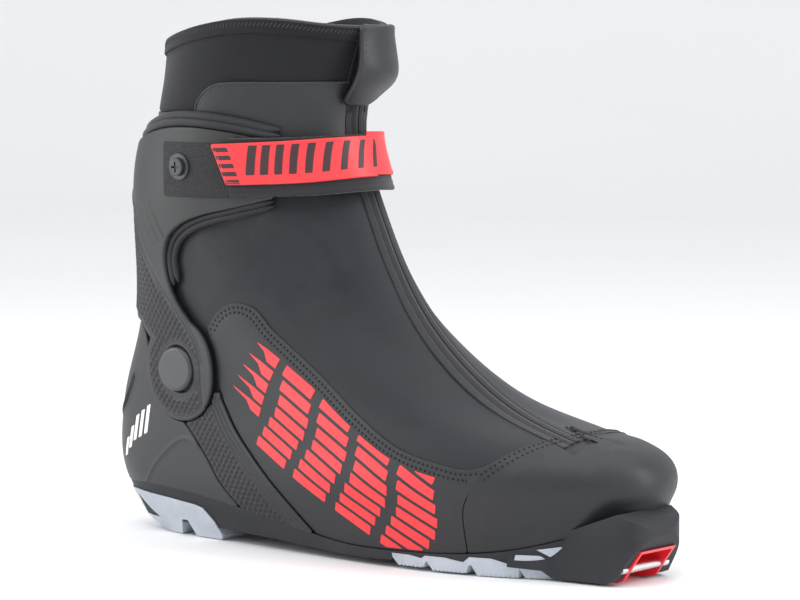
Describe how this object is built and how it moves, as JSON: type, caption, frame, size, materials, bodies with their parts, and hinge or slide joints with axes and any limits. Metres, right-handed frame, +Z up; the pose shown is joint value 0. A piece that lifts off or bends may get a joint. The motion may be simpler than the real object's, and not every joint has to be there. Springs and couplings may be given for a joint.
{
  "type": "cross country ski boot",
  "caption": "Right cross country ski boot for skating: soft zipped upper, hinged ankle cuff with a strap, and a sole with a steel toe bar.",
  "frame": {"origin": "middle of the boot's box at ground level", "axes": "+X to the toe, +Y to the inner side of the foot, +Z up"},
  "size_m": [0.3058, 0.1005, 0.2386],
  "materials": {
    "sole_rubber": "matt moulded rubber",
    "tread_rubber": "light grey moulded rubber",
    "red_plastic": "red moulded plastic",
    "steel": "turned steel",
    "carbon": "fibre plate",
    "board": "non-woven board",
    "foam_cloth": "cloth-faced foam",
    "softshell": "stretch softshell",
    "liner_cloth": "brushed lining",
    "lace": "braided cord",
    "webbing": "woven tape",
    "zip_cloth": "woven zip tape",
    "zip_plastic": "moulded",
    "printed_film": "matt film with red printed blocks",
    "moulded_film": "matt moulded film",
    "counter_plastic": "satin moulded plastic",
    "textured_plastic": "diamond texture",
    "cuff_plastic": "satin moulded plastic with a textured rear band",
    "padding": "padded roll",
    "neoprene": "neoprene",
    "binding": "stitched binding",
    "synthetic_leather": "smooth synthetic leather",
    "hook_tape": "hook tape",
    "red_strap": "rubber-coated webbing",
    "cap_plastic": "semi-gloss domed",
    "dark_metal": "black finish"
  },
  "bodies": {
    "root": {"outsole": "sole_rubber", "heel_tread": "tread_rubber", "forefoot_tread_lateral": "tread_rubber", "forefoot_tread_medial": "tread_rubber", "toe_pocket_liner": "red_plastic", "toe_bar": "steel", "shank": "carbon", "insole_board": "board", "footbed": "foam_cloth", "softshell_vamp": "softshell", "softshell_quarter_lateral": "softshell", "softshell_quarter_medial": "softshell", "softshell_heel": "softshell", "liner_lower": "liner_cloth", "ankle_flex_shell": "softshell", "ankle_flex_liner": "liner_cloth", "tongue": "liner_cloth", "laces": "lace", "lace_loops": "webbing", "zip_tape": "zip_cloth", "zip_teeth": "zip_plastic", "zip_stop": "zip_plastic", "side_overlay_lateral": "printed_film", "side_overlay_medial": "printed_film", "toe_cap": "moulded_film", "heel_counter": "counter_plastic", "heel_counter_insert": "sole_rubber", "frame_band_lateral": "textured_plastic", "frame_band_medial": "textured_plastic", "pivot_pin_lateral": "steel", "pivot_pin_medial": "steel", "pivot_cap_lateral": "cap_plastic", "pivot_cap_medial": "cap_plastic", "pivot_washer_lateral": "steel", "pivot_washer_medial": "steel"},
    "cuff": {"cuff_shell": "cuff_plastic", "cuff_padding": "padding", "cuff_trim": "padding", "shaft_softshell": "softshell", "liner_upper": "liner_cloth", "collar": "neoprene", "collar_binding": "binding", "collar_panel_lateral": "synthetic_leather", "collar_panel_medial": "synthetic_leather", "hook_patch": "hook_tape", "strap_base": "webbing", "strap_front": "red_strap", "strap_washer": "dark_metal", "strap_screw": "dark_metal", "strap_rivet": "dark_metal"},
    "strap_tail": {"strap_tail": "red_strap"},
    "zip_slider": {"zip_slider": "dark_metal"},
    "zip_pull": {"zip_pull": "steel"},
    "pull_flap": {"pull_flap": "synthetic_leather"},
    "lace_lock": {"lace_lock": "zip_plastic"}
  },
  "joints": [
    {"name": "cuff_flex", "type": "hinge", "parent": "root", "child": "cuff", "pos_m": [-0.08944, -0.0032, 0.079], "axis": [0, 1, 0], "range_deg": [-3, 12], "stiffness_Nm_per_rad": 8, "deforming": ["ankle_flex_shell", "ankle_flex_liner", "tongue", "laces", "zip_tape", "zip_teeth"]},
    {"name": "strap_peel", "type": "hinge", "parent": "cuff", "child": "strap_tail", "pos_m": [-0.02276, -0.03098, 0.1745], "axis": [0, 0, 1], "range_deg": [0, 75]},
    {"name": "zip_slide", "type": "slide", "parent": "cuff", "child": "zip_slider", "axis": [-0.2301, 0, -0.9732], "range_m": [0, 0.012]},
    {"name": "zip_pull_swing", "type": "hinge", "parent": "zip_slider", "child": "zip_pull", "pos_m": [-0.00904, 0.0008, 0.21105], "axis": [0, -1, 0], "range_deg": [0, 18]},
    {"name": "flap_lift", "type": "hinge", "parent": "cuff", "child": "pull_flap", "pos_m": [-0.00464, 0.0008, 0.236], "axis": [0, -1, 0], "range_deg": [0, 95]},
    {"name": "lace_lock_slide", "type": "slide", "parent": "cuff", "child": "lace_lock", "axis": [-0.0079, 0.0059, 1], "range_m": [0, 0.009]}
  ]
}
